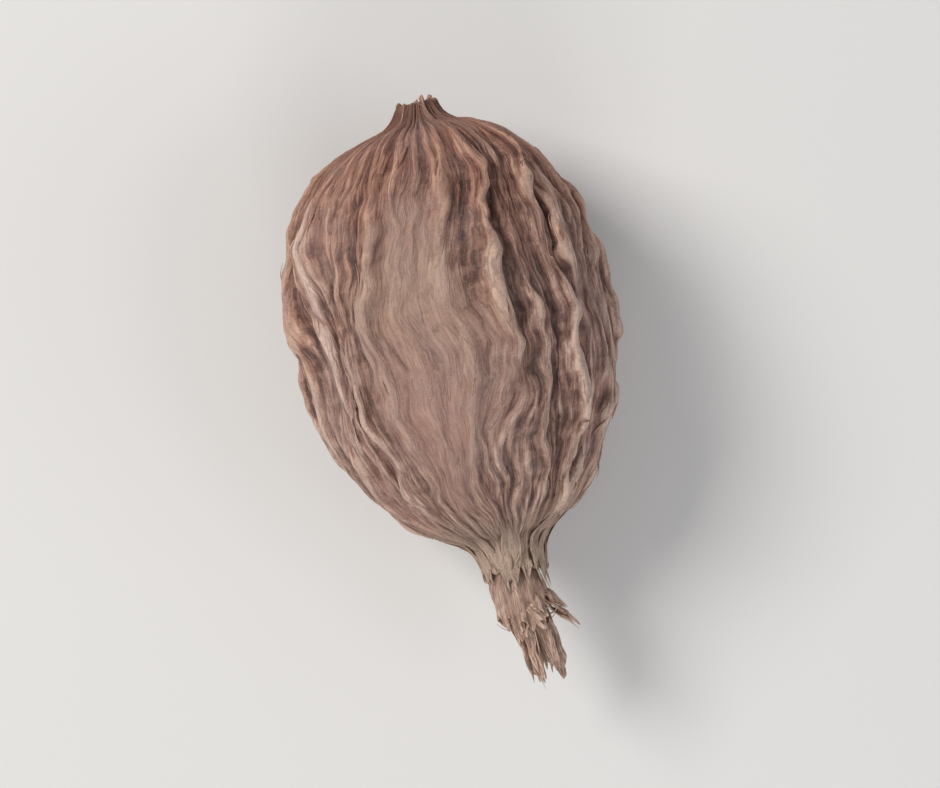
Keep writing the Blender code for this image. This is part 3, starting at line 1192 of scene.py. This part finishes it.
def makeHuskMaterial():
    h = huskFinish
    material, tree, shader = newMaterial("driedHusk")
    place = readValue(tree, "skinPlace", "Vector")
    crest = readValue(tree, "crest")
    along = readValue(tree, "alongPod")
    panel = readValue(tree, "smoothPanel")
    streak = placeGroup(
        tree, fibreStreaks, Vector=place, Fineness=h["streakFineness"], Contrast=h["streakContrast"]
    )
    patch = noiseNode(tree, place, scale=0.22, detail=3.0)
    mottled = stretchNode(tree, place, h["mottleStretch"])
    grain = noiseNode(tree, place, scale=9.0, detail=3.0, roughness=0.6)
    # crest and fineCrest paint shade into the grooves; streak, lines, patch, mottle, grain and panel are the
    # husk's own tone
    shade = weighShade(tree, h, {
        "crest": crest, "fineCrest": readValue(tree, "fineCrest"),
        "streak": streak["Mask"], "lines": streak["Lines"], "patch": patch,
        "mottle": noiseNode(tree, mottled, scale=1.8, detail=6.0, roughness=0.7),
        "grain": grain, "panel": panel,
    })
    colour = shadeColour(tree, h, shade)
    stalkEnd = sumNode(tree, (along, 1.0), (patch, h["orangePatch"]))
    colour = tintNode(tree, rangeNode(tree, stalkEnd, *h["orangeEnd"]), colour, h["orange"], "OVERLAY")
    pale = timesNode(tree, panel, rangeNode(tree, shade, *h["panelShade"]))
    colour = tintNode(tree, pale, colour, h["panel"])
    blush = timesNode(tree, panel, rangeNode(tree, along, *h["blushEnd"]))
    rosy = rangeNode(tree, noiseNode(tree, place, scale=0.17, detail=2.0), *h["rosyPatches"])
    colour = tintNode(tree, mathNode(tree, "MAXIMUM", rosy, blush), colour, h["rosy"])
    dryNeck = timesNode(tree, rangeNode(tree, along, *h["neckEnd"]), rangeNode(tree, shade, *h["neckShade"]))
    colour = tintNode(tree, dryNeck, colour, h["neck"])
    colour = wearAndDust(tree, h, colour, h["worn"], place, crest, streak)
    # painted highlight: the long ridge's top is painted pale, where light would catch it
    ridgeHighlightBand = rangeNode(tree, readValue(tree, "highlitRidge"), *h["ridgeEdge"])
    ridgeHighlightMask = timesNode(tree, ridgeHighlightBand, rangeNode(tree, crest, *h["ridgeCrest"]))
    ridgeHighlightMask = timesNode(tree, ridgeHighlightMask, rangeNode(tree, shade, *h["ridgeShade"]))
    colour = tintNode(tree, ridgeHighlightMask, colour, h["ridge"])
    streakShare, grainShare = h["threadWeights"]
    threads = sumNode(tree, (streak["Height"], streakShare), (grain, grainShare))
    fewer = rangeNode(tree, panel, 0.0, 1.0, 1.0, h["threadOnPanel"])
    colour = mixNode(tree, fewer, colour, rangeNode(tree, threads, *h["thread"]), "MULTIPLY")
    tree.links.new(colour, shader.inputs["Base Color"])
    tree.links.new(rangeNode(tree, shade, *h["roughness"]), shader.inputs["Roughness"])
    addBump(tree, shader, sumNode(tree, (streak["Height"], 1.0), (grain, h["bumpGrain"])), h)
    return material


def makeCalyxMaterial():
    c = calyxFinish
    material, tree, shader = newMaterial("paperyCalyx")
    place = readValue(tree, "skinPlace", "Vector")
    crest = readValue(tree, "crest")
    streak = placeGroup(
        tree, fibreStreaks, Vector=place, Fineness=c["streakFineness"], Contrast=c["streakContrast"]
    )
    shade = weighShade(tree, c, {
        "crest": crest, "streak": streak["Mask"], "lines": streak["Lines"],
        "mottle": noiseNode(tree, place, scale=0.9, detail=4.0, roughness=0.6),
    })
    colour = wearAndDust(tree, c, shadeColour(tree, c, shade), c["light"], place, crest, streak)
    colour = mixNode(tree, 1.0, colour, rangeNode(tree, streak["Height"], *c["thread"]), "MULTIPLY")
    tree.links.new(colour, shader.inputs["Base Color"])
    tree.links.new(rangeNode(tree, shade, *c["roughness"]), shader.inputs["Roughness"])
    addBump(tree, shader, streak["Height"], c)
    return material


huskMaterial = makeHuskMaterial()
calyxMaterial = makeCalyxMaterial()
for piece, material in (
    (huskSkin, huskMaterial), (huskShreds, huskMaterial), (huskFibres, calyxMaterial),
    (calyxStrips, calyxMaterial), (calyxTube, calyxMaterial), (calyxFibres, calyxMaterial),
):
    piece.data.materials.clear()
    piece.data.materials.append(material)
print("materials made")


# What each piece rides on and stands for

for piece, node, slot in (
    (huskSkin, "husk", "husk"),
    (huskShreds, "husk", "husk"),
    (huskFibres, "husk", "husk"),
    (calyxStrips, "calyx_tuft", "calyx"),
    (calyxTube, "calyx_tuft", "calyx"),
    (calyxFibres, "calyx_tuft", "calyx"),
):
    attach(piece, "root")
    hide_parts(node)


# Floor, lights and camera

studio = {
    "floorSize": 1.2,
    "floorColour": (0.80, 0.79, 0.775),
    "floorRoughness": 0.9,
    "skyColour": (0.93, 0.95, 1.0),
    "skyStrength": 0.30,
    "lens": 120.0,
    "distance": 0.152,
    "roll": math.radians(78),
    "nearest": 0.005,
    "furthest": 5.0,
    "lightsAim": Vector((0.003, 0.0, 0.006)),
    "lights": (  # name, place, size, power and colour
        ("keyLight", (-0.16, -0.20, 0.26), 0.16, 0.92, (1.0, 0.97, 0.93)),
        ("fillLight", (0.10, 0.26, 0.20), 0.22, 0.22, (0.94, 0.97, 1.0)),
        ("rimLight", (0.24, -0.04, 0.10), 0.12, 0.20, (1.0, 0.98, 0.95)),
    ),
}


def makeFloor():
    bpy.ops.mesh.primitive_plane_add(size=studio["floorSize"], location=(0.0, 0.0, 0.0))
    floor = bpy.context.view_layer.objects.active
    floor.name = "floor"
    material, tree, shader = newMaterial("paleFloor")
    shader.inputs["Base Color"].default_value = (*studio["floorColour"], 1.0)
    shader.inputs["Roughness"].default_value = studio["floorRoughness"]
    floor.data.materials.append(material)


def makeLight(name, place, size, power, colour):
    bpy.ops.object.light_add(type="AREA", location=place)
    light = bpy.context.view_layer.objects.active
    light.name = name
    light.data.size = size
    light.data.energy = power
    light.data.color = colour
    aim = studio["lightsAim"] - Vector(place)
    light.rotation_euler = aim.to_track_quat("-Z", "Y").to_euler()


def makeSky():
    world = bpy.data.worlds.new("studioSky")
    world.use_nodes = True
    background = world.node_tree.nodes["Background"]
    background.inputs["Color"].default_value = (*studio["skyColour"], 1.0)
    background.inputs["Strength"].default_value = studio["skyStrength"]
    bpy.context.scene.world = world


def makeCamera():
    # straight above the pod, turned so that its tail leans to the right
    middle = (cadBox[0] + cadBox[1]) / 2
    bpy.ops.object.camera_add(
        location=(middle.x, middle.y, middle.z + studio["distance"]), rotation=(0.0, 0.0, studio["roll"])
    )
    camera = bpy.context.view_layer.objects.active
    camera.data.lens = studio["lens"]
    camera.data.clip_start = studio["nearest"]
    camera.data.clip_end = studio["furthest"]
    bpy.context.scene.camera = camera


makeFloor()
makeSky()
for light in studio["lights"]:
    makeLight(*light)
makeCamera()
bpy.context.scene.view_settings.view_transform = "Standard"
print("studio made")
